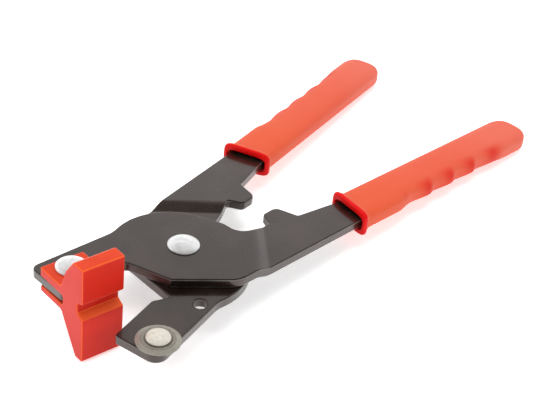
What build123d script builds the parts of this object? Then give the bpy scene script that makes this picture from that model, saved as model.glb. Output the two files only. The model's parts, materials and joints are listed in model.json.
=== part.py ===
from build123d import *
import os
from math import atan, cos, degrees, radians, sin

# Tile-cutting pliers: two flat steel arms on one rivet, a scoring wheel on one nose and a swivelling
# breaker pad on the other. Millimetres. The arms' own frame has its origin on the pivot axis, halfway
# between the arms, x towards the handles and z up; the tool then lies tilted on its pad and its grips.

# Stamped arms
plate = 3.5                  # sheet thickness
arm_gap = 0.1                # air between the arms where they cross
edge_round = 0.6             # rounded stamped and painted edges
joggle_start = 25.4          # pivot to the first bend, measured across the bend
joggle_run = 4.0             # first bend to second bend
joggle_turn = 45.0           # direction of the joggle, away from the tool's centre line
bend_radius = 2.5            # inside of a bend
jaw_hub_centre = (-4.0, 1.5)
jaw_hub_radius = 22.3
wheel_hub_centre = (-4.5, -3.5)
wheel_hub_radius = 23.9
hub_blend = 12.0             # hollow where a nose runs into its hub
hang_hole_centre = (-16.0, -23.0)
hang_hole_radius = 2.4

# Tangs and grips, both given as if on the +y side; the jaw arm's is its mirror image
jaw_mouth = (63.2, 25.0)     # centre of the grip's open end
jaw_splay = 5.8              # turn of the grip away from the tool's x
jaw_shoulder = 26.5          # where the handle's outer edge starts, beside the pivot
wheel_mouth = (61.9, 25.1)
wheel_splay = 8.5
wheel_shoulder = 24.5
grip_length = 101.0
grip_width = 17.4
grip_thickness = 7.7
grip_edge = 2.8              # rounding along the sleeve
tang_width = 13.6
tang_tip_width = 10.5
tang_reach = 72.0            # length of tang inside the sleeve
sleeve_play = 0.05
flare_depth = 5.0            # the mouth stands off the tang this far in
flare_play = 0.7
rim_length = 2.4             # rolled rim round the mouth
rim_height = 1.1
rim_round = 1.0
wave_start = 28.0            # mouth to the first finger hollow
wave_pitch = 13.2
wave_rise = 8.6              # hollow to the next crest
wave_depth = 1.3
wave_count = 4
wave_round = 7.0

# Rivets and washers
running_fit = 0.05           # radial play of a piece that turns on a rivet
drive_fit = 0.02             # radial play of a rivet in the piece that holds it
face_gap = 0.1               # play beside a piece that turns
head_rim = 0.5               # height of a head's edge
pivot_shank = 4.0
pivot_head = 5.7
pivot_dome = 2.3
pad_shank = 3.0
pad_head = 5.5
pad_dome = 2.3
wheel_shank = 2.95
wheel_head = 4.1
wheel_dome = 1.8
tail_ratio = 1.5             # upset tail to shank
tail_dome = 1.4
wheel_tail_ratio = 1.25      # the wheel's rivet is only lightly peened
wheel_tail_dome = 0.9
washer_thickness = 0.8
washer_margin = 1.2          # washer beyond the tail

# Scoring wheel
wheel_centre = (-40.4, -27.4)
wheel_radius = 7.5
wheel_thickness = 1.5
wheel_bevel = 1.9            # radial length of the ground rim
wheel_land = 0.12            # thickness left at the cutting edge
spacer_thickness = 0.4
spacer_radius = 5.0

# Breaker pad: side profile in (depth behind the working face, height), drawn out across its width
pad_corner = (-51.15, -3.9)  # free vertical edge of the working face
pad_turn = -10.8             # direction of the working face
pad_width = 16.0
pad_above = 20.9             # top and foot of the pad from the arms' middle plane
pad_below = 16.6
pad_top_depth = 5.5
pad_shoulder = (9.9, 14.6)
pad_body_depth = 12.3
pad_foot_depth = 4.0
pad_lug_depth = 24.7
pad_flare = 0.7              # the free side stands out this much at the lugs' ends
pad_lug = 3.5                # thickness of the upper lug
pad_lower_lug = 2.4
slot_gap = 0.15              # play between the nose and each lug
slot_front = 11.4            # depth at which the slot ends
pad_rivet_depth = 19.05
groove_middle = 4.0          # height of the groove across the working face
groove_mouth = 6.6
groove_floor = 3.6
groove_depth = 3.0
groove_rise = 0.1            # the groove's floor lies this much above the middle of its mouth
lug_corner = 0.9
pad_edge = 0.6

# Heights in the arms' frame
jaw_under = arm_gap / 2
jaw_top = jaw_under + plate
wheel_top = -arm_gap / 2
wheel_under = wheel_top - plate
joggle_drop = jaw_under + plate / 2
slot_under = jaw_under - slot_gap
slot_top = jaw_top + slot_gap
lug_top = slot_top + pad_lug
lug_under = slot_under - pad_lower_lug


# Place in the arms' plane of a point on a grip: s along it from the mouth, u outwards
def on_grip(mouth, splay, s, u):
    turn = radians(splay)
    x = mouth[0] + s * cos(turn) - u * sin(turn)
    y = mouth[1] + s * sin(turn) + u * cos(turn)
    return (x, y)


# Place in the arms' plane of a point on the pad: across the face from its free edge, behind the face
def on_pad(across, behind):
    turn = radians(pad_turn)
    x = pad_corner[0] + across * cos(turn) - behind * sin(turn)
    y = pad_corner[1] + across * sin(turn) + behind * cos(turn)
    return (x, y)


# The tool lies on the foot of the pad and on the far ends of both grips
toe_x = on_pad(pad_width, 0)[0]
jaw_tip_x, jaw_tip_y = on_grip(jaw_mouth, jaw_splay, grip_length - grip_width / 2, 0)
wheel_tip_x, wheel_tip_y = on_grip(wheel_mouth, wheel_splay, grip_length - grip_width / 2, 0)
heel_x = max(jaw_tip_x, wheel_tip_x) + grip_width / 2
tilt = atan((pad_below - grip_thickness / 2) / (heel_x - grip_edge - toe_x))
front_x = pad_corner[0] * cos(tilt) - pad_below * sin(tilt)
pivot_x = -(front_x + heel_x * cos(tilt)) / 2
pivot_y = (jaw_tip_y - wheel_tip_y) / 2
pivot_z = toe_x * sin(tilt) + pad_below * cos(tilt)
bench = Plane(
    origin=(pivot_x, pivot_y, pivot_z), x_dir=(cos(tilt), 0, -sin(tilt)), z_dir=(sin(tilt), 0, cos(tilt))
)


# Plane square to the arms through (x, y), its own x turned from the tool's and its own y upwards
def upright(x, y, turn):
    across = bench.x_dir.rotate(Axis(bench.origin, bench.z_dir), turn)
    return Plane(bench.from_local_coords((x, y, 0)), x_dir=across, z_dir=across.cross(bench.z_dir))


def rivet_axis(x, y):
    return Axis(bench.from_local_coords((x, y, 0)), bench.z_dir)


# Corners (x, y, rounding) of a handle on the +y side, from its outer shoulder round to the notch
def handle_corners(shoulder, mouth, splay):
    outer_mouth = on_grip(mouth, splay, 0, tang_width / 2)
    outer_tip = on_grip(mouth, splay, tang_reach, tang_tip_width / 2)
    inner_tip = on_grip(mouth, splay, tang_reach, -tang_tip_width / 2)
    inner_mouth = on_grip(mouth, splay, 0, -tang_width / 2)
    return [
        (-0.4, shoulder, 9.0),
        (*outer_mouth, 30.0),
        (*outer_tip, 3.0),
        (*inner_tip, 3.0),
        (*inner_mouth, 20.0),
        (46.2, 13.9, 1.2),
        (44.0, 4.9, 3.0),
        (37.0, 4.7, 2.2),
        (34.4, 9.9, 0.9),
    ]


# Outline from one end of the hub's arc round through the corners to its other end
def close_round(hub, corners):
    FilletPolyline(hub @ 1, *[corner[:2] for corner in corners], hub @ 0, radius=[corner[2] for corner in corners])


# Edges between the sheet's faces and its cut rim
def rim_edges(arm):
    walls = arm.faces().filter_by(lambda face: abs(face.normal_at().dot(bench.z_dir)) < 0.01)
    return walls.edges().filter_by(lambda edge: abs((edge % 0.5).dot(bench.z_dir)) < 0.9)


# Jaw arm: upper plate at the pivot, stepping down to its handle on the -y side
jaw_handle = handle_corners(jaw_shoulder, jaw_mouth, jaw_splay)
jaw_corners = [
    (-46.4, 26.5, 3.0),
    (-48.5, 7.9, 1.5),
    (-21.4, 6.9, 3.0),
    (-17.2, -10.6, 1.2),
    *[(x, -y, rounding) for x, y, rounding in jaw_handle],
    (20.4, -10.0, 6.0),
    (20.3, -0.4, 4.0),
]
sheet_reach = heel_x + grip_length
with BuildPart(bench) as jaw_arm:
    with BuildSketch(upright(0, 0, -joggle_turn)):
        with BuildLine():
            FilletPolyline(
                (-sheet_reach, jaw_top),
                (joggle_start, jaw_top),
                (joggle_start + joggle_run, jaw_top - joggle_drop),
                (sheet_reach, jaw_top - joggle_drop),
                radius=[bend_radius + plate, bend_radius],
            )
            offset(amount=plate, side=Side.RIGHT)
        make_face()
    extrude(amount=sheet_reach, both=True)
    with BuildSketch(bench) as jaw_outline:
        with BuildLine():
            jaw_hub = CenterArc(jaw_hub_centre, jaw_hub_radius, 21.5, 89.5)
            close_round(jaw_hub, jaw_corners)
        make_face()
        fillet(jaw_outline.vertices().sort_by_distance(jaw_hub @ 1)[0], hub_blend)
    extrude(amount=2 * plate, both=True, mode=Mode.INTERSECT)
    fillet(rim_edges(jaw_arm), edge_round)
    with Locations((0, 0, jaw_top)):
        Hole(pivot_shank + drive_fit)
    with Locations((*on_pad(pad_width / 2, pad_rivet_depth), jaw_top)):
        Hole(pad_shank + drive_fit)

# Wheel arm: lower plate at the pivot, stepping up to its handle on the +y side
wheel_corners = [
    (19.0, 4.0, 5.0),
    *reversed(handle_corners(wheel_shoulder, wheel_mouth, wheel_splay)),
    (-17.4, 10.6, 1.2),
    (-20.7, -13.6, 0.9),
    (-26.4, -10.8, 2.0),
    (-47.7, -15.0, 1.5),
    (-45.9, -33.2, 4.5),
]
with BuildPart(bench) as wheel_arm:
    with BuildSketch(upright(0, 0, joggle_turn)):
        with BuildLine():
            FilletPolyline(
                (-sheet_reach, wheel_top),
                (joggle_start, wheel_top),
                (joggle_start + joggle_run, wheel_top + joggle_drop),
                (sheet_reach, wheel_top + joggle_drop),
                radius=[bend_radius, bend_radius + plate],
            )
            offset(amount=plate, side=Side.RIGHT)
        make_face()
    extrude(amount=sheet_reach, both=True)
    with BuildSketch(bench) as wheel_outline:
        with BuildLine():
            wheel_hub = CenterArc(wheel_hub_centre, wheel_hub_radius, -105, 100)
            close_round(wheel_hub, wheel_corners)
        make_face()
        fillet(wheel_outline.vertices().sort_by_distance(wheel_hub @ 0)[0], hub_blend)
    extrude(amount=2 * plate, both=True, mode=Mode.INTERSECT)
    fillet(rim_edges(wheel_arm), edge_round)
    with Locations((0, 0, wheel_top)):
        Hole(pivot_shank + running_fit)
    with Locations((*wheel_centre, wheel_top)):
        Hole(wheel_shank + drive_fit)
    with Locations((*hang_hole_centre, wheel_top)):
        Hole(hang_hole_radius)
    hang_rims = wheel_arm.edges().filter_by(GeomType.CIRCLE)
    fillet(hang_rims.filter_by(lambda edge: abs(edge.radius - hang_hole_radius) < 0.001), edge_round)


# Sleeve grip over a tang: finger waves on the outer side, rounded tip, rolled and flared mouth
def sleeve(mouth_centre, splay, side):
    tip_radius = grip_width / 2
    waves = []
    for count in range(wave_count):
        hollow = wave_start + count * wave_pitch
        waves.append((hollow, side * (grip_width / 2 - wave_depth)))
        waves.append((hollow + wave_rise, side * grip_width / 2))
    mouth = Plane(
        bench.from_local_coords((mouth_centre[0], side * mouth_centre[1], 0)),
        x_dir=bench.x_dir.rotate(Axis(bench.origin, bench.z_dir), side * splay),
        z_dir=bench.z_dir,
    )
    mouth_end = Plane(mouth.origin, x_dir=mouth.y_dir, z_dir=mouth.x_dir)
    with BuildPart(mouth) as grip:
        with BuildSketch(mouth.offset(-grip_thickness / 2)):
            with BuildLine():
                FilletPolyline(
                    (0, side * grip_width / 2),
                    (wave_start - wave_rise, side * grip_width / 2),
                    *waves,
                    (grip_length, side * grip_width / 2),
                    (grip_length, -side * grip_width / 2),
                    (0, -side * grip_width / 2),
                    radius=[wave_round] * (2 * wave_count + 1) + [0.98 * tip_radius] * 2,
                )
                Line((0, -side * grip_width / 2), (0, side * grip_width / 2))
            make_face()
        extrude(amount=grip_thickness)
        long_edges = grip.edges().filter_by(lambda edge: abs((edge % 0.5).dot(mouth.z_dir)) < 0.1)
        fillet(long_edges.filter_by(lambda edge: abs((edge @ 0.5 - mouth.origin).dot(mouth.x_dir)) > 0.1), grip_edge)
        with BuildSketch(mouth_end):
            RectangleRounded(grip_width + 2 * rim_height, grip_thickness + 2 * rim_height, grip_edge + rim_height)
        extrude(amount=rim_length)
        ends = grip.faces().filter_by(lambda face: abs(face.normal_at().dot(mouth.x_dir)) > 0.99)
        lip, shoulder = ends.sort_by(Axis(mouth.origin, mouth.x_dir))[:2]
        fillet(lip.edges() + shoulder.outer_wire().edges(), rim_round)
        with BuildSketch(mouth.offset(-plate / 2 - sleeve_play)):
            with BuildLine():
                FilletPolyline(
                    (0, tang_width / 2 + sleeve_play),
                    (tang_reach + sleeve_play, tang_tip_width / 2 + sleeve_play),
                    (tang_reach + sleeve_play, -tang_tip_width / 2 - sleeve_play),
                    (0, -tang_width / 2 - sleeve_play),
                    radius=3.0,
                )
                Line((0, -tang_width / 2 - sleeve_play), (0, tang_width / 2 + sleeve_play))
            make_face()
        extrude(amount=plate + 2 * sleeve_play, mode=Mode.SUBTRACT)
        with BuildSketch(mouth_end):
            Rectangle(tang_width + 2 * flare_play, plate + 2 * flare_play)
        extrude(amount=flare_depth, mode=Mode.SUBTRACT)
    return grip


# Domed rivet about an upright axis: head resting on one height, upset tail on a lower one
def rivet(x, y, shank, head, dome, head_seat, tail_seat, tail=tail_ratio, tail_height=tail_dome):
    tail_radius = shank * tail
    with BuildPart() as turned:
        with BuildSketch(upright(x, y, 0)):
            with BuildLine():
                crown = TangentArc((0, head_seat + dome), (head, head_seat + head_rim), tangent=(1, 0))
                upset = TangentArc((0, tail_seat - tail_height), (tail_radius, tail_seat - head_rim), tangent=(1, 0))
                Polyline(
                    crown @ 1,
                    (head, head_seat),
                    (shank, head_seat),
                    (shank, tail_seat),
                    (tail_radius, tail_seat),
                    upset @ 1,
                )
                Line(upset @ 0, crown @ 0)
            make_face()
        revolve(axis=rivet_axis(x, y))
    return turned


# Plain washer, its upper face at the given height
def washer(x, y, bore, radius, top, thickness):
    with BuildPart() as ring:
        with BuildSketch(bench.offset(top - thickness)):
            with Locations((x, y)):
                Circle(radius)
                Circle(bore, mode=Mode.SUBTRACT)
        extrude(amount=thickness)
    return ring


jaw_arm_grip = sleeve(jaw_mouth, jaw_splay, -1)
wheel_arm_grip = sleeve(wheel_mouth, wheel_splay, 1)

# Pivot: the rivet is fast in the jaw arm, the wheel arm turns on it
pivot_washer_top = wheel_under - face_gap
pivot_tail_seat = pivot_washer_top - washer_thickness
pivot_rivet = rivet(0, 0, pivot_shank, pivot_head, pivot_dome, jaw_top, pivot_tail_seat)
pivot_washer_radius = pivot_shank * tail_ratio + washer_margin
pivot_washer = washer(0, 0, pivot_shank + drive_fit, pivot_washer_radius, pivot_washer_top, washer_thickness)

# Breaker pad: clevis round the jaw arm's nose, groove across its working face
pad_side = Plane(
    bench.from_local_coords((*pad_corner, 0)),
    x_dir=bench.y_dir.rotate(Axis(bench.origin, bench.z_dir), pad_turn),
    z_dir=bench.x_dir.rotate(Axis(bench.origin, bench.z_dir), pad_turn),
)
pad_rivet_x, pad_rivet_y = on_pad(pad_width / 2, pad_rivet_depth)
with BuildPart(bench) as breaker_pad:
    with BuildSketch(pad_side):
        with BuildLine():
            FilletPolyline(
                (0, -pad_below),
                (0, groove_middle - groove_mouth / 2),
                (groove_depth, groove_middle + groove_rise - groove_floor / 2),
                (groove_depth, groove_middle + groove_rise + groove_floor / 2),
                (0, groove_middle + groove_mouth / 2),
                (0, pad_above),
                (pad_top_depth, pad_above),
                pad_shoulder,
                (pad_body_depth, lug_top),
                (pad_lug_depth, lug_top),
                (pad_lug_depth, slot_top),
                (slot_front, slot_top),
                (slot_front, slot_under),
                (pad_lug_depth, slot_under),
                (pad_lug_depth, lug_under),
                (pad_body_depth, lug_under),
                (pad_foot_depth, -pad_below),
                close=True,
                radius=[0.8, 0.5, 0.6, 0.6, 0.5, 0.8, 1.6, 4.5, 1.6, 0, 0, 0.8, 0.8, 0, 0, 1.6, 0.8],
            )
        make_face()
    extrude(amount=pad_width)
    extrude(breaker_pad.faces().sort_by(Axis(pad_side.origin, pad_side.z_dir))[0], amount=pad_flare)
    with BuildSketch(bench.offset(-pad_below)):
        with BuildLine():
            Polyline(
                on_pad(0, 0),
                on_pad(-pad_flare, pad_lug_depth),
                on_pad(-2 * pad_flare, pad_lug_depth),
                on_pad(-2 * pad_flare, 0),
                close=True,
            )
        make_face()
    extrude(amount=pad_below + pad_above, mode=Mode.SUBTRACT)
    corners = breaker_pad.edges().filter_by(Axis(bench.origin, bench.z_dir))
    lug_corners = corners.filter_by(lambda edge: (edge @ 0.5 - pad_side.origin).dot(pad_side.x_dir) > pad_lug_depth - 1)
    fillet(lug_corners, lug_corner)
    sides = breaker_pad.faces().filter_by(lambda face: abs(face.normal_at().dot(pad_side.z_dir)) > 0.99)
    fillet(sides.edges(), pad_edge)
    with Locations((pad_rivet_x, pad_rivet_y, lug_top)):
        Hole(pad_shank + running_fit)

pad_washer_top = lug_under - face_gap
pad_tail_seat = pad_washer_top - washer_thickness
pad_rivet = rivet(
    pad_rivet_x, pad_rivet_y, pad_shank, pad_head, pad_dome, lug_top + face_gap, pad_tail_seat
)
pad_washer_radius = pad_shank * tail_ratio + washer_margin
pad_washer = washer(
    pad_rivet_x, pad_rivet_y, pad_shank + drive_fit, pad_washer_radius, pad_washer_top, washer_thickness
)

# Scoring wheel: turns on its rivet between the spacer and the head
spacer_top = wheel_top + spacer_thickness
wheel_rest = spacer_top + face_gap
wheel_spacer = washer(*wheel_centre, wheel_shank + drive_fit, spacer_radius, spacer_top, spacer_thickness)
with BuildPart() as scoring_wheel:
    with BuildSketch(upright(*wheel_centre, 0)):
        with BuildLine():
            Polyline(
                (wheel_shank + running_fit, wheel_rest),
                (wheel_radius - wheel_bevel, wheel_rest),
                (wheel_radius, wheel_rest + (wheel_thickness - wheel_land) / 2),
                (wheel_radius, wheel_rest + (wheel_thickness + wheel_land) / 2),
                (wheel_radius - wheel_bevel, wheel_rest + wheel_thickness),
                (wheel_shank + running_fit, wheel_rest + wheel_thickness),
                close=True,
            )
        make_face()
    revolve(axis=rivet_axis(*wheel_centre))
wheel_seat = wheel_rest + wheel_thickness + face_gap
wheel_rivet = rivet(
    *wheel_centre, wheel_shank, wheel_head, wheel_dome, wheel_seat, wheel_under, wheel_tail_ratio, wheel_tail_dome
)

os.makedirs("parts", exist_ok=True)
jaw_arm.part.label = "jaw_arm"
export_step(jaw_arm.part, "parts/jaw_arm.step")
wheel_arm.part.label = "wheel_arm"
export_step(wheel_arm.part, "parts/wheel_arm.step")
jaw_arm_grip.part.label = "jaw_arm_grip"
export_step(jaw_arm_grip.part, "parts/jaw_arm_grip.step")
wheel_arm_grip.part.label = "wheel_arm_grip"
export_step(wheel_arm_grip.part, "parts/wheel_arm_grip.step")
pivot_rivet.part.label = "pivot_rivet"
export_step(pivot_rivet.part, "parts/pivot_rivet.step")
pivot_washer.part.label = "pivot_washer"
export_step(pivot_washer.part, "parts/pivot_washer.step")
breaker_pad.part.label = "breaker_pad"
export_step(breaker_pad.part, "parts/breaker_pad.step")
pad_rivet.part.label = "pad_rivet"
export_step(pad_rivet.part, "parts/pad_rivet.step")
pad_washer.part.label = "pad_washer"
export_step(pad_washer.part, "parts/pad_washer.step")
scoring_wheel.part.label = "scoring_wheel"
export_step(scoring_wheel.part, "parts/scoring_wheel.step")
wheel_rivet.part.label = "wheel_rivet"
export_step(wheel_rivet.part, "parts/wheel_rivet.step")
wheel_spacer.part.label = "wheel_spacer"
export_step(wheel_spacer.part, "parts/wheel_spacer.step")

print(f"tilt {degrees(tilt):.4f} degrees, pivot at {pivot_x:.4f}, {pivot_y:.4f}, {pivot_z:.4f}")
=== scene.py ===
import bpy
import json
import math
from mathutils import Euler, Matrix, Vector


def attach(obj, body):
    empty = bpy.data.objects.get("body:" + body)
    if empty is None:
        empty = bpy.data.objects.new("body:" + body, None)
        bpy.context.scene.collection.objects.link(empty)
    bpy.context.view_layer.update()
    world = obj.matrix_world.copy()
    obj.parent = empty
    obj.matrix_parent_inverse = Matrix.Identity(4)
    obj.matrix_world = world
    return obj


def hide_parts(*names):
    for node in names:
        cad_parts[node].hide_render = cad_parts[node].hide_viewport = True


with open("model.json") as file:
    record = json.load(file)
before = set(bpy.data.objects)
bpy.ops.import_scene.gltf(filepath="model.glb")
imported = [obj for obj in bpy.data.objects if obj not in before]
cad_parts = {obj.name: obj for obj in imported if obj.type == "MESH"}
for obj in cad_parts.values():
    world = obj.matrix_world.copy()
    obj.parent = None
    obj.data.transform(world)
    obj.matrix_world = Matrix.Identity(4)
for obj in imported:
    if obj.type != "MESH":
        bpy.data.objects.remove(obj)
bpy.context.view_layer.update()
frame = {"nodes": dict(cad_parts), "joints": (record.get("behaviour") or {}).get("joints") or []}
print("frame loaded")

mm = 0.001
joints = {joint["name"]: joint for joint in frame["joints"]}
upAxis = Vector(joints["arm_pivot"]["axis"]).normalized()
alongAxis = Vector((upAxis.z, 0, -upAxis.x))


def placeAt(jointName):  # the joint's middle, X along the tool and Z square to the arms
    turn = Matrix((alongAxis, upAxis.cross(alongAxis), upAxis)).transposed()
    return Matrix.Translation(Vector(joints[jointName]["pos_m"])) @ turn.to_4x4()


pivotPlace = placeAt("arm_pivot")
padPlace = placeAt("pad_swivel")
wheelPlace = placeAt("wheel_spin")


# a wire is one output of a node, and sums on wires make Math nodes
class Wire:
    def __init__(self, nodes, socket):
        self.nodes = nodes
        self.socket = socket

    def maths(self, operation, *terms, clamp=False):
        settings = {"operation": operation, "use_clamp": clamp}
        return self.nodes.node("ShaderNodeMath", settings, dict(enumerate(terms)))

    def __add__(self, other):
        return self.maths("ADD", self, other)

    def __radd__(self, other):
        return self.maths("ADD", other, self)

    def __sub__(self, other):
        return self.maths("SUBTRACT", self, other)

    def __rsub__(self, other):
        return self.maths("SUBTRACT", other, self)

    def __mul__(self, other):
        return self.maths("MULTIPLY", self, other)

    def __rmul__(self, other):
        return self.maths("MULTIPLY", other, self)

    def __truediv__(self, other):
        return self.maths("DIVIDE", self, other)

    def size(self):  # without its sign
        return self.maths("ABSOLUTE", self)

    def most(self, other):
        return self.maths("MAXIMUM", self, other)

    def clamped(self):
        return self.maths("MULTIPLY", self, 1.0, clamp=True)

    def between(self, low, high, start=0.0, end=1.0):  # start below low, end above high
        inputs = {"Value": self, "From Min": low, "From Max": high, "To Min": start, "To Max": end}
        return self.nodes.node("ShaderNodeMapRange", {"interpolation_type": "SMOOTHSTEP"}, inputs)


# a material's nodes or the world's, with one method that adds any node
class Nodes:
    def __init__(self, owner):
        owner.use_nodes = True
        self.tree = owner.node_tree

    def feed(self, socket, value):
        if isinstance(value, Wire):
            self.tree.links.new(value.socket, socket)
        else:
            socket.default_value = value

    def node(self, kind, settings, inputs, output=0):
        made = self.tree.nodes.new(kind)
        for name, value in settings.items():
            setattr(made, name, value)
        for name, value in inputs.items():
            self.feed(made.inputs[name], value)
        return Wire(self, made.outputs[output])

    def vector(self, operation, first, second=(0, 0, 0), output=0):
        return self.node("ShaderNodeVectorMath", {"operation": operation}, {0: first, 1: second}, output)


class Paint(Nodes):
    def __init__(self, name):
        self.material = bpy.data.materials.new(name)
        super().__init__(self.material)
        self.shader = self.tree.nodes["Principled BSDF"]
        self.places = self.node("ShaderNodeTexCoord", {}, {}, "Object")

    def noise(self, grain, detail=3.0, roughness=0.5):  # grain is the size of a blotch in mm
        inputs = {"Vector": self.places, "Scale": 1000 / grain, "Detail": detail, "Roughness": roughness}
        return self.node("ShaderNodeTexNoise", {}, inputs)

    def mix(self, factor, first, second):
        inputs = {0: factor}
        for slot, colour in ((6, first), (7, second)):
            inputs[slot] = colour if isinstance(colour, Wire) else (*colour, 1)
        return self.node("ShaderNodeMix", {"data_type": "RGBA"}, inputs, 2)

    def facing(self, direction):  # how far the surface looks along a direction, from -1 to 1
        normal = self.node("ShaderNodeTexCoord", {}, {}, "Normal")
        return self.vector("DOT_PRODUCT", normal, tuple(direction), "Value")

    def depth(self, origin, direction):  # signed distance along a direction, in mm
        offset = self.vector("SUBTRACT", self.places, tuple(origin))
        return self.vector("DOT_PRODUCT", offset, tuple(direction), "Value") * 1000.0

    def radius(self, centre):  # distance from an upright axis, in mm
        offset = self.vector("SUBTRACT", self.places, tuple(centre))
        crossed = self.vector("CROSS_PRODUCT", offset, tuple(upAxis))
        return self.vector("LENGTH", crossed, output="Value") * 1000.0

    def edges(self, reach):  # 0 on flat faces, rising to 1 on an edge, reach in mm
        rounded = self.node("ShaderNodeBevel", {"samples": 6}, {"Radius": reach * mm})
        flat = self.node("ShaderNodeNewGeometry", {}, {}, "Normal")
        return 1.0 - self.vector("DOT_PRODUCT", rounded, flat, "Value")

    def openness(self, reach):  # 1 in the open, less in a groove or under a ledge, reach in mm
        settings = {"samples": 6, "only_local": True}
        return self.node("ShaderNodeAmbientOcclusion", settings, {"Distance": reach * mm}, "AO")

    def bump(self, height, depth, strength, normal=None):  # depth in mm
        inputs = {"Height": height, "Distance": depth * mm, "Strength": strength}
        if normal:
            inputs["Normal"] = normal
        return self.node("ShaderNodeBump", {}, inputs)

    def finish(self, **values):
        names = {
            "colour": "Base Color",
            "roughness": "Roughness",
            "metallic": "Metallic",
            "coat": "Coat Weight",
            "coatRoughness": "Coat Roughness",
            "specular": "Specular IOR Level",
            "specularTint": "Specular Tint",
            "glow": "Emission Strength",
            "glowColour": "Emission Color",
            "normal": "Normal",
        }
        for name, value in values.items():
            if isinstance(value, tuple):
                value = (*value, 1)
            self.feed(self.shader.inputs[names[name]], value)
        return self.material


lacquerLook = {
    "dark": (0.0055, 0.0031, 0.0024),
    "worn": (0.0145, 0.0090, 0.0070),
    "wornGrain": 14.0,
    "wornSpan": (0.35, 0.68),
    "gloss": (1.0, 0.80, 0.73),
    "specular": 0.5,
    "rimSheenAndWear": (0.15, 0.147, 0.141),
    "rimSheenAndWearShare": 0.75,        # how grey the rims are painted: a painted highlight, with some wear
    "rimSheenAndWearSpan": (0.25, 0.55),
    "chip": (0.22, 0.21, 0.20),
    "chipShare": 0.6,
    "chipGrain": 1.4,
    "chipSpan": (0.45, 0.62),
    "chipReach": 0.5,           # how far in from an edge chips come
    "chipEdge": (0.02, 0.30),
    "rimFrom": (0.12, 0.35),    # how far a rim leans where its grey line of painted highlight and wear starts
    "rimTo": (0.45, 0.68),      # and where it ends
    "faceSpan": (0.15, 0.75),
    "speck": (0.16, 0.15, 0.14),
    "speckShare": 0.15,
    "speckGrain": 0.35,
    "speckSpan": (0.68, 0.78),
    "speckRoughness": 0.05,
    "smearGrain": 6.0,
    "smearRoughness": 0.10,
    "peelGrain": 1.6,
    "peelDepth": 0.006,
    "rippleGrain": 22.0,
    "rippleDepth": 0.05,
    "faceRoughness": 0.22,
    "wallRoughness": 0.30,
    "faceCoat": 0.50,
    "wallCoat": 0.45,
    "coatRoughness": 0.06,
}


def lacquer(name):
    look = lacquerLook
    paint = Paint(name)
    blotch = paint.noise(look["wornGrain"], 4.0)
    speck = paint.noise(look["speckGrain"], 2.0).between(*look["speckSpan"])
    edge = paint.edges(look["chipReach"]).between(*look["chipEdge"])
    chipped = (edge * paint.noise(look["chipGrain"]).between(*look["chipSpan"])).clamped()
    lean = paint.facing(upAxis).size()  # 1 on a broad face, 0 on a wall, halfway round a rim
    level = lean.between(*look["faceSpan"])
    # painted highlight, with some wear: a grey line along the rounded rims
    rim = lean.between(*look["rimFrom"]) * (1.0 - lean.between(*look["rimTo"]))
    rimSheenAndWear = rim * look["rimSheenAndWearShare"] * blotch.between(*look["rimSheenAndWearSpan"])
    colour = paint.mix(blotch.between(*look["wornSpan"]), look["dark"], look["worn"])
    colour = paint.mix(rimSheenAndWear, colour, look["rimSheenAndWear"])
    colour = paint.mix(speck * look["speckShare"], colour, look["speck"])
    colour = paint.mix(chipped * look["chipShare"], colour, look["chip"])
    smear = paint.noise(look["smearGrain"], 5.0, 0.6)
    faceRoughness = look["faceRoughness"] + look["smearRoughness"] * smear
    roughness = faceRoughness * level + look["wallRoughness"] * (1.0 - level)
    coat = look["wallCoat"] + (look["faceCoat"] - look["wallCoat"]) * level
    peel = paint.bump(paint.noise(look["peelGrain"], 2.0), look["peelDepth"], 0.45)
    return paint.finish(
        colour=colour,
        roughness=roughness + look["speckRoughness"] * speck,
        coat=(coat * (1.0 - 0.5 * chipped)).clamped(),
        coatRoughness=look["coatRoughness"],
        specular=look["specular"],
        specularTint=look["gloss"],
        normal=paint.bump(paint.noise(look["rippleGrain"], 1.0), look["rippleDepth"], 0.6, peel),
    )


vinylLook = {
    # the colour runs lighter from the mouth to the tip, partly painted light and shade
    "mouth": (0.57, 0.082, 0.031),
    "middle": (0.575, 0.086, 0.042),
    "tip": (0.59, 0.112, 0.070),
    "mouthSpan": (5.0, 45.0),   # mm from the open end, where mouth turns to middle
    "tipSpan": (50.0, 98.0),
    # painted shade: the lip is a deeper red
    "lip": (0.56, 0.001, 0.001),
    "lipShadeSpan": (0.3, 0.95),
    # painted shade in the hollows and on the wave crests, also the colour that the random cloud darkens to
    "shadeAndCloud": (0.52, 0.020, 0.008),
    "crestShade": 0.85,
    "cloudShade": 0.12,
    "cloudGrain": 20.0,
    "hollowReach": 3.0,
    "hollowSpan": (0.35, 0.95),
    "skinGrain": 0.5,
    "skinDepth": 0.012,
    "roughness": 0.46,
    "skinRoughness": 0.14,
    "cloudRoughness": 0.06,
    "specular": 0.2,
}


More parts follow.
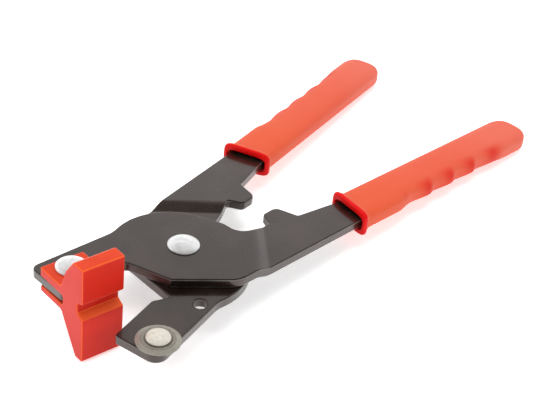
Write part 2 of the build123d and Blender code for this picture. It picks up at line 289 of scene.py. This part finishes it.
def vinyl(name, mouth, along):
    look = vinylLook
    paint = Paint(name)
    cloud = paint.noise(look["cloudGrain"])
    grain = paint.noise(look["skinGrain"], 3.0, 0.6)
    # painted shade: darker where the vinyl lies in a hollow
    hollow = 1.0 - paint.openness(look["hollowReach"]).between(*look["hollowSpan"])
    fromMouth = paint.depth(mouth, along)
    crest = paint.node("ShaderNodeAttribute", {"attribute_name": "crest"}, {}, "Fac")
    # painted shade on the wave crests and in hollows, with a random cloud of darker tone
    dark = cloud.between(0.3, 0.75) * look["cloudShade"] + hollow + crest * look["crestShade"]
    # lighter towards the tip, partly painted light and shade
    colour = paint.mix(fromMouth.between(*look["mouthSpan"]), look["mouth"], look["middle"])
    colour = paint.mix(fromMouth.between(*look["tipSpan"]), colour, look["tip"])
    colour = paint.mix(dark.clamped(), colour, look["shadeAndCloud"])
    # painted shade: the lip turns a deeper red
    colour = paint.mix(1.0 - fromMouth.between(*look["lipShadeSpan"]), colour, look["lip"])
    return paint.finish(
        colour=colour,
        roughness=look["roughness"] + look["skinRoughness"] * grain + look["cloudRoughness"] * cloud,
        specular=look["specular"],
        normal=paint.bump(grain, look["skinDepth"], 0.5),
    )


mouldedLook = {
    "turn": -10.8,              # the working face against the arms, in degrees
    "colour": (0.51, 0.016, 0.006),
    "upper": (0.54, 0.040, 0.009),  # painted light: faces that look up are lighter and more orange
    # painted shade in the groove and under ledges, also the colour that the random cloud darkens to
    "shadeAndCloud": (0.30, 0.003, 0.002),
    # painted highlight on the pad's edges and slanted faces
    "edge": (0.70, 0.110, 0.028),
    "edgeHighlightShare": 0.68,
    "edgeHighlightSpan": (0.86, 0.97),
    "grooveReach": 5.0,
    "grooveSpan": (0.35, 0.9),
    "shelfSpan": (0.1, 0.6),
    "cloudShade": 0.15,
    "cloudGrain": 9.0,
    "skinGrain": 0.3,
    "skinDepth": 0.006,
    "flowGrain": 5.0,
    "flowDepth": 0.03,
    "roughness": 0.28,
    "cloudRoughness": 0.12,
    "skinRoughness": 0.08,
    "specular": 0.16,
}


def moulded(name):
    look = mouldedLook
    paint = Paint(name)
    faceAxis = Matrix.Rotation(math.radians(look["turn"]), 3, upAxis) @ alongAxis
    lean = paint.facing(upAxis)
    sideways = paint.facing(faceAxis).size().most(paint.facing(upAxis.cross(faceAxis)).size())
    # painted highlight: lighter on edges and on faces that are neither square nor level
    edge = (1.0 - sideways.most(lean.size()).between(*look["edgeHighlightSpan"])) * look["edgeHighlightShare"]
    # painted shade: darker in the groove and under ledges, not on faces that look up
    groove = 1.0 - paint.openness(look["grooveReach"]).between(*look["grooveSpan"])
    shelf = lean.between(*look["shelfSpan"])
    cloud = paint.noise(look["cloudGrain"])
    grain = paint.noise(look["skinGrain"], 2.0)
    dark = cloud.between(0.35, 0.7) * look["cloudShade"] + groove * (1.0 - shelf)
    # painted light on faces that look up
    colour = paint.mix(shelf, look["colour"], look["upper"])
    colour = paint.mix(dark.clamped(), colour, look["shadeAndCloud"])
    colour = paint.mix((edge * (1.0 - groove)).clamped(), colour, look["edge"])
    skin = paint.bump(grain, look["skinDepth"], 0.5)
    return paint.finish(
        colour=colour,
        roughness=look["roughness"] + look["cloudRoughness"] * cloud + look["skinRoughness"] * grain,
        specular=look["specular"],
        normal=paint.bump(paint.noise(look["flowGrain"], 1.0), look["flowDepth"], 0.5, skin),
    )


steelLook = {
    "zinc": {"colour": (0.74, 0.74, 0.735), "stain": (0.55, 0.56, 0.575), "roughness": 0.22,
             "metallic": 0.6},
    "cream": {"colour": (0.61, 0.575, 0.505), "stain": (0.48, 0.445, 0.385), "roughness": 0.42,
              "metallic": 0.3},
    "ground": {"colour": (0.28, 0.265, 0.225), "stain": (0.19, 0.175, 0.145), "roughness": 0.36,
               "metallic": 0.6},
    "mottleGrain": 1.7,
    "mottleDepth": 0.02,
    "mottleRoughness": 0.16,
    "pitGrain": 0.28,
    "pitShare": 0.3,
    "turnedGrain": 0.12,        # width of a turning line on a rivet's head
    "turnedDepth": 0.006,
    "groundGrain": 0.2,         # and on the wheel
    "groundDepth": 0.012,
    "ringRoughness": 0.06,
    "ringBlur": 0.15,
    "wheelShadeAndLightRings": (  # inner and outer radius in mm, strength and colour of painted rings: painted shadow round the rivet's head, a thin dark line, and a lighter band of painted light
        (3.9, 4.75, 0.75, (0.11, 0.095, 0.075)),
        (5.45, 5.75, 0.6, (0.14, 0.125, 0.10)),
        (5.75, 7.6, 0.3, (0.44, 0.42, 0.36)),
    ),
}


def turnedSteel(name, kind, centre, ringGrain, ringDepth, paintedRings=()):
    look, steel = steelLook, steelLook[kind]
    paint = Paint(name)
    radius = paint.radius(centre)
    turned = {"W": radius / ringGrain, "Detail": 2.0}
    rings = paint.node("ShaderNodeTexNoise", {"noise_dimensions": "1D"}, turned)
    mottle = paint.noise(look["mottleGrain"], 4.0, 0.6)
    pits = paint.noise(look["pitGrain"], 2.0).between(0.64, 0.74)
    stain = mottle.between(0.38, 0.72) * (1.0 - look["pitShare"]) + look["pitShare"] * pits
    colour = paint.mix(stain, steel["colour"], steel["stain"])
    blur = look["ringBlur"]
    # painted rings of shade and light, where they are given
    for inner, outer, share, tone in paintedRings:
        beyond = radius.between(outer - blur, outer + blur)
        band = radius.between(inner - blur, inner + blur) * (1.0 - beyond)
        colour = paint.mix(band * share, colour, tone)
    turning = paint.bump(rings, ringDepth, 0.6)
    return paint.finish(
        colour=colour,
        metallic=steel["metallic"],
        roughness=steel["roughness"] + look["mottleRoughness"] * mottle + look["ringRoughness"] * rings,
        normal=paint.bump(mottle, look["mottleDepth"], 0.5, turning),
    )


armPaint = lacquer("blackLacquer")
padPlastic = moulded("redPadPlastic")
headRings = (steelLook["turnedGrain"], steelLook["turnedDepth"])
discRings = (steelLook["groundGrain"], steelLook["groundDepth"], steelLook["wheelShadeAndLightRings"])
pivotSteel = turnedSteel("pivotRivetZinc", "zinc", pivotPlace.translation, *headRings)
padSteel = turnedSteel("padRivetZinc", "zinc", padPlace.translation, *headRings)
creamSteel = turnedSteel("wheelRivetZinc", "cream", wheelPlace.translation, *headRings)
groundSteel = turnedSteel("groundWheelSteel", "ground", wheelPlace.translation, *discRings)

nodeFinishes = {
    "jaw_arm": armPaint,
    "wheel_arm": armPaint,
    "breaker_pad": padPlastic,
    "pivot_rivet": pivotSteel,
    "pivot_washer": pivotSteel,
    "pad_rivet": padSteel,
    "pad_washer": padSteel,
    "wheel_rivet": creamSteel,
    "wheel_spacer": creamSteel,
    "scoring_wheel": groundSteel,
}
for node, finish in nodeFinishes.items():
    materials = frame["nodes"][node].data.materials
    materials.clear()
    materials.append(finish)
print("finishes made")


def meshPiece(name, points, faces, material, smooth=True):
    mesh = bpy.data.meshes.new(name)
    mesh.from_pydata([tuple(point) for point in points], [], faces)
    mesh.materials.append(material)
    mesh.polygons.foreach_set("use_smooth", [smooth] * len(mesh.polygons))
    mesh.update()
    piece = bpy.data.objects.new(name, mesh)
    bpy.context.scene.collection.objects.link(piece)
    return piece


def skinRings(rings):  # closed skin over rings of equal length, a single point at each end
    count = len(rings[1])
    points = [point for ring in rings for point in ring]
    last = len(points) - 1
    faces = []
    for step in range(count):
        after = (step + 1) % count
        faces.append((0, 1 + after, 1 + step))
        faces.append((last, last - count + step, last - count + after))
    for row in range(len(rings) - 3):
        base = 1 + row * count
        for step in range(count):
            after = (step + 1) % count
            faces.append((base + step, base + after, base + count + after, base + count + step))
    return points, faces


def smoothStep(low, high, value):
    share = min(1.0, max(0.0, (value - low) / (high - low)))
    return share * share * (3 - 2 * share)


# s runs from the open end to the tip, u to the outer side and v up, all in mm
gripShape = {
    "length": 101.0,
    "mouthPull": (0.0, 25.0),   # the stretch that takes up a sleeve's extra length at the mouth
    "tipPull": (60.0, 100.0),
    "halfWidth": 8.7,
    "halfThickness": 3.85,
    "proud": 0.6,               # the upper face is a little fuller than the lower one
    "roundness": 3.8,           # 2 is an ellipse, more is boxier
    "crestRoundness": 2.45,
    "crown": 0.3,               # how much the broad faces bow
    "waveStart": 28.0,
    "wavePitch": 13.2,
    "waveRise": 8.6,
    "waveDepth": 1.55,
    "waveCount": 4,
    "firstShade": 0.7,          # the edge before the first wave against a full crest
    "shadePower": 1.6,
    "shadeSpan": (0.45, 0.85),  # share of the width where a crest's shade comes in
    "tipRound": 8.7,
    "tipLift": 4.6,
    "tipAngle": 5,              # degrees between the rings round the tip
    "ringStep": 0.55,
    "ringGap": 1.6,             # from the last plain ring to the rim
    "ringPoints": 128,
    "mouthSkew": 0.13,          # the open end is cut a little aslant
    "skewSpan": (3.0, 16.0),
    "rimLength": 1.8,
    "rimHeight": 0.98,
    "rimRoundness": 5.2,
    "lip": (  # place against the rim's length, and share of its height
        (1.3, 0.04), (0.8, 0.16), (0.35, 0.44), (0.0, 0.78), (-0.35, 0.96),
        (-0.75, 1.0), (-1.2, 0.95), (-1.5, 0.8), (-1.7, 0.55), (-1.8, 0.1),
    ),
    "flareHalfWidth": 7.8,
    "flareHalfThickness": 2.8,
    "flareRoundness": 5.0,
    "flare": (  # s, and how much wider than the hollow behind the lip
        (-0.02, 0.75), (0.0, 0.5), (0.12, 0.25), (0.45, 0.08), (1.1, 0.0), (2.6, 0.0), (4.4, 0.0),
    ),
    "flareDepth": 5.0,
    "flareFloor": -0.3,
    "floorRoundness": 6.0,
    "tangHalfWidth": 6.85,
    "tangTipHalfWidth": 5.30,
    "tangHalfThickness": 1.80,
    "tangRoundness": 12.0,
    "tangReach": 72.0,
    "tangRings": 4,
}


def waveAt(s):  # how far the outer edge stands back at s, and how near a crest that is
    shape = gripShape
    start, pitch, rise, depth = (shape[key] for key in ("waveStart", "wavePitch", "waveRise", "waveDepth"))
    lastCrest = start + (shape["waveCount"] - 1) * pitch + rise
    if s < start - rise or s > lastCrest + rise:
        return 0.0, 0.0
    if s > lastCrest:
        return 0.0, 1 - smoothStep(lastCrest, lastCrest + rise, s)
    if s < start:
        share = smoothStep(start - rise, start, s)
        shade = shape["firstShade"] * smoothStep(start - rise, start - 0.5 * rise, s)
        return depth * share, shade * (1 - share)
    phase = (s - start) % pitch
    share = 1 - smoothStep(0, rise, phase) if phase < rise else smoothStep(rise, pitch, phase)
    return depth * share, 1 - share


def gripRing(s, outer, inner, half, square, crest=0.0, crown=0.0, proud=0.0):
    # points (s, u, v, shade) round the sleeve, on a superellipse
    ring = []
    shape = gripShape
    aslant = shape["mouthSkew"] * (1 - smoothStep(*shape["skewSpan"], s))
    for step in range(shape["ringPoints"]):
        angle = 2 * math.pi * step / shape["ringPoints"]
        c, k = math.cos(angle), math.sin(angle)
        power = square - max(0.0, square - shape["crestRoundness"]) * crest * smoothStep(0.0, 0.7, c)
        width = outer if c > 0 else inner
        u = width * math.copysign(abs(c) ** (2 / power), c)
        v = (half + (proud if k > 0 else 0.0)) * math.copysign(abs(k) ** (2 / power), k)
        v *= 1 - crown * (u / width) ** 2
        shade = crest ** shape["shadePower"] * smoothStep(*shape["shadeSpan"], u / width)
        ring.append((s - aslant * u, u, v, shade))
    return ring


def bodyRings():  # from the tip to the rim
    shape = gripShape
    wide, half, length = shape["halfWidth"], shape["halfThickness"], shape["length"]
    tipRound, tipLift = shape["tipRound"], shape["tipLift"]
    turns = range(shape["tipAngle"], 90, shape["tipAngle"])
    stations = [length - tipRound * (1 - math.cos(math.radians(angle))) for angle in turns]
    plain = length - tipRound - shape["rimLength"] - shape["ringGap"]
    count = math.ceil(plain / shape["ringStep"])
    stations += [length - tipRound - shape["ringStep"] * step for step in range(1, count)]
    rings = [[(length, 0, 0, 0)]]
    for s in stations:
        back, crest = waveAt(s)
        edge = max(0.0, (s - (length - tipRound)) / tipRound)
        end = max(0.0, (s - (length - tipLift)) / tipLift)
        swell, lift = math.sqrt(1 - edge ** 2.2), math.sqrt(1 - end ** 2)
        outer, inner, proud = (wide - back) * swell, wide * swell, shape["proud"] * lift
        crown = shape["crown"] / half
        rings.append(gripRing(s, outer, inner, half * lift, shape["roundness"], crest, crown, proud))
    return rings


def mouthRings():  # over the lip, into the mouth and along the tang's hole to its blind end
    shape = gripShape
    rings = []
    wide, half = shape["halfWidth"], shape["halfThickness"]
    for after, share in shape["lip"]:
        s, grow = shape["rimLength"] + after, share * shape["rimHeight"]
        around = (wide + grow, wide + grow, half + grow, shape["rimRoundness"])
        rings.append(gripRing(s, *around, proud=shape["proud"]))
    wide, half = shape["flareHalfWidth"], shape["flareHalfThickness"]
    for s, grow in shape["flare"]:
        rings.append(gripRing(s, wide + grow, wide + grow, half + grow, shape["flareRoundness"]))
    depth, grow, reach = shape["flareDepth"], shape["flareFloor"], shape["tangReach"]
    rings.append(gripRing(depth, wide + grow, wide + grow, half + grow, shape["floorRoundness"]))
    wide, narrow = shape["tangHalfWidth"], shape["tangTipHalfWidth"]
    for step in range(shape["tangRings"] + 1):
        s = depth + 0.1 + step / shape["tangRings"] * (reach - depth)
        span = wide + (narrow - wide) * s / reach
        rings.append(gripRing(s, span, span, shape["tangHalfThickness"], shape["tangRoundness"]))
    return rings + [[(reach + 0.15, 0, 0, 0)]]


sleeves = {
    "jawArmSleeve": {
        "node": "jaw_arm_grip",
        "body": "jaw_side",
        "side": -1,
        "mouth": (63.2, 25.0),  # mm along and across from the arms' pivot
        "splay": 5.8,           # degrees
        "mouthExtra": 0.9,      # mm longer than gripShape at the mouth
        "tipExtra": 1.0,
    },
    "wheelArmSleeve": {
        "node": "wheel_arm_grip",
        "body": "wheel_side",
        "side": 1,
        "mouth": (61.9, 25.1),
        "splay": 8.5,
        "mouthExtra": 0.2,
        "tipExtra": -0.5,
    },
}


def buildSleeve(name):
    sleeve = sleeves[name]
    side, (forward, aside) = sleeve["side"], sleeve["mouth"]
    place = pivotPlace @ Matrix.Translation((forward * mm, side * aside * mm, 0))
    place = place @ Matrix.Rotation(math.radians(side * sleeve["splay"]), 4, "Z")
    rings, shades = [], []
    for ring in bodyRings() + mouthRings():
        placed = []
        for s, u, v, shade in ring:
            atMouth, atTip = 1 - smoothStep(*gripShape["mouthPull"], s), smoothStep(*gripShape["tipPull"], s)
            s += sleeve["tipExtra"] * atTip - sleeve["mouthExtra"] * atMouth
            placed.append(place @ Vector((s * mm, side * u * mm, v * mm)))
            shades.append(shade)
        rings.append(placed)
    points, faces = skinRings(rings)
    if side > 0:
        faces = [tuple(reversed(face)) for face in faces]
    along = place.to_3x3() @ Vector((1, side * gripShape["mouthSkew"], 0)).normalized()
    piece = meshPiece(name, points, faces, vinyl(name + "Vinyl", place.translation, along))
    # the crest attribute carries the painted shade on the wave crests
    piece.data.attributes.new("crest", "FLOAT", "POINT").data.foreach_set("value", shades)
    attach(piece, sleeve["body"])
    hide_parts(sleeve["node"])


for name in sleeves:
    buildSleeve(name)
print("sleeves made")

rivetShape = {
    "rim": 0.5,                 # height of a head's edge, in mm
    "soften": 0.22,
    "turns": 96,
    "domeSteps": 14,
    "dimpleDepth": 0.16,
    "tailCrown": 0.7,
    "tailFlat": 2.2,
}
rivets = {  # radii and heights in mm from the joint; the head sits at seat, the tail under tailSeat
    "pivotRivet": {
        "node": "pivot_rivet", "place": pivotPlace, "body": "jaw_side", "finish": pivotSteel,
        "head": 5.7, "dome": 2.3, "seat": 3.55, "dimple": 0.9, "crown": 0.8, "flat": 2.2,
        "shank": 4.0, "tail": 6.0, "tailDome": 1.4, "tailSeat": -4.45,
    },
    "padRivet": {
        "node": "pad_rivet", "place": padPlace, "body": "jaw_side", "finish": padSteel,
        "head": 5.5, "dome": 2.3, "seat": 7.3, "dimple": 0.7, "crown": 0.8, "flat": 2.2,
        "shank": 3.0, "tail": 4.5, "tailDome": 1.4, "tailSeat": -3.4,
    },
    "wheelRivet": {
        "node": "wheel_rivet", "place": wheelPlace, "body": "wheel_side", "finish": creamSteel,
        "head": 4.1, "dome": 1.8, "seat": 2.05, "dimple": 0.0, "crown": 0.7, "flat": 4.0,
        "shank": 2.95, "tail": 3.69, "tailDome": 0.9, "tailSeat": -3.55,
    },
}


def softCorners(outline, reach):  # each inner corner becomes a short curve
    soft = [outline[0]]
    for before, corner, after in zip(outline, outline[1:], outline[2:]):
        corner = Vector(corner)
        arms = [Vector(before) - corner, Vector(after) - corner]
        start, end = (corner + arm.normalized() * min(reach, 0.45 * arm.length) for arm in arms)
        for share in (0.0, 0.25, 0.5, 0.75, 1.0):
            soft.append(tuple(start.lerp(corner, share).lerp(corner.lerp(end, share), share)))
    return soft + [outline[-1]]


def domeOutline(radius, dome, dimple, crown, flat):  # from the middle out to the edge of a head
    rim, steps = rivetShape["rim"], rivetShape["domeSteps"]
    outline = []
    for step in range(steps + 1):
        share = step / steps
        height = rim + (dome - rim) * (1 - share ** flat) ** crown
        if share < dimple / radius * 2:
            height -= rivetShape["dimpleDepth"] * (1 - smoothStep(0, dimple / radius * 2, share))
        outline.append((radius * share, height))
    return outline


def buildRivet(name):
    rivet, common = rivets[name], rivetShape
    place, shank, seat, tailSeat = (rivet[key] for key in ("place", "shank", "seat", "tailSeat"))
    head = domeOutline(rivet["head"], rivet["dome"], rivet["dimple"], rivet["crown"], rivet["flat"])
    tail = domeOutline(rivet["tail"], rivet["tailDome"], 0.0, common["tailCrown"], common["tailFlat"])
    outline = [(r, seat + h) for r, h in head]
    outline += [(rivet["head"], seat), (shank, seat), (shank, tailSeat), (rivet["tail"], tailSeat)]
    outline += [(r, tailSeat - h) for r, h in reversed(tail)]
    outline = softCorners(outline, common["soften"])
    turns = [2 * math.pi * step / common["turns"] for step in range(common["turns"])]
    rings = [[place @ Vector((0, 0, outline[0][1] * mm))]]
    for r, h in outline[1:-1]:
        rings.append([place @ Vector((r * mm * math.cos(a), r * mm * math.sin(a), h * mm)) for a in turns])
    rings.append([place @ Vector((0, 0, outline[-1][1] * mm))])
    points, faces = skinRings(rings)
    piece = meshPiece(name, points, [tuple(reversed(face)) for face in faces], rivet["finish"])
    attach(piece, rivet["body"])
    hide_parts(rivet["node"])


for name in rivets:
    buildRivet(name)
print("rivets made")

floorLook = {
    "colour": (0.93, 0.93, 0.93),
    "cloud": (0.91605, 0.91605, 0.91605),
    "cloudShare": 0.3,
    "cloudGrain": 180.0,
    "roughness": 0.7,
    "specular": 0.1,
    "glow": 0.42,
    "size": 6.0,
    "drop": 0.0001,             # metres under the tool, so that nothing is coplanar
}


def makeFloor():
    look = floorLook
    paint = Paint("paleFloor")
    cloud = paint.noise(look["cloudGrain"], 2.0) * look["cloudShare"]
    material = paint.finish(
        colour=paint.mix(cloud, look["colour"], look["cloud"]),
        roughness=look["roughness"],
        specular=look["specular"],
        glow=look["glow"],
        glowColour=(1.0, 1.0, 1.0),
    )
    half = look["size"] / 2
    corners = [(-half, -half, 0), (half, -half, 0), (half, half, 0), (-half, half, 0)]
    floor = meshPiece("floor", corners, [(0, 1, 2, 3)], material, smooth=False)
    floor.location.z = -look["drop"]


studioLook = {  # what the gloss mirrors; heights run from 0 at the horizon to 1 straight above
    "farSide": (0.7, 1.0, 0.0),
    "farSpan": (-0.45, 0.15),
    "near": 0.08,               # share of the light on the near right side
    "low": 0.6,                 # and just above the horizon
    "lowSpan": (0.15, 0.45),
    "bright": 1.1,
    "top": 0.36,
    "topSpan": (0.50, 0.95),
    "ring": 1.3,                # low and bright, it draws the lines along rounded edges
    "ringFoot": (0.05, 0.09),
    "ringHead": (0.17, 0.26),
}
panelLook = {  # power in watts, size and place in metres; each lights the middle and is hidden from gloss
    "topPanel": (8.9, 0.9, (0.10, 0.15, 0.95)),
    "leftPanel": (3.1, 0.6, (-0.80, 0.05, 0.45)),
    "frontPanel": (4.1, 0.6, (-0.10, -0.85, 0.55)),
}


def makeLights():
    look = studioLook
    world = bpy.data.worlds.new("studio")
    bpy.context.scene.world = world
    sky = Nodes(world)
    outward = sky.node("ShaderNodeTexCoord", {}, {}, "Generated")
    height = sky.node("ShaderNodeSeparateXYZ", {}, {0: outward}, "Z")
    ahead = sky.vector("DOT_PRODUCT", outward, look["farSide"], "Value")
    low = height.between(*look["lowSpan"], look["low"], 1.0)
    high = height.between(*look["topSpan"], look["bright"], look["top"])
    dome = ahead.between(*look["farSpan"], look["near"], 1.0) * (low * high)
    ring = height.between(*look["ringFoot"], 0.0, look["ring"]) * height.between(*look["ringHead"], 1.0, 0.0)
    background = sky.tree.nodes["Background"]
    sky.feed(background.inputs["Strength"], dome + ring)
    sky.feed(background.inputs["Color"], (1, 1, 1, 1))
    for name, (power, size, place) in panelLook.items():
        light = bpy.data.lights.new(name, "AREA")
        light.energy = power
        light.size = size
        panel = bpy.data.objects.new(name, light)
        panel.location = place
        panel.rotation_euler = (-Vector(place)).to_track_quat("-Z", "Y").to_euler()
        panel.visible_glossy = False
        bpy.context.scene.collection.objects.link(panel)


cameraLook = {
    "place": (-0.3123, -0.2427, 0.3008),
    "turn": (53.15, -3.00, -49.92),  # degrees about X, Y and Z
    "lens": 83.6,
    "sensor": 36.0,
}


def makeCamera():
    data = bpy.data.cameras.new("camera")
    data.lens = cameraLook["lens"]
    data.sensor_width = cameraLook["sensor"]
    camera = bpy.data.objects.new("camera", data)
    camera.location = cameraLook["place"]
    camera.rotation_euler = Euler([math.radians(angle) for angle in cameraLook["turn"]])
    bpy.context.scene.collection.objects.link(camera)
    bpy.context.scene.camera = camera


makeFloor()
makeLights()
makeCamera()
bpy.context.scene.view_settings.view_transform = "Standard"
print("studio made")
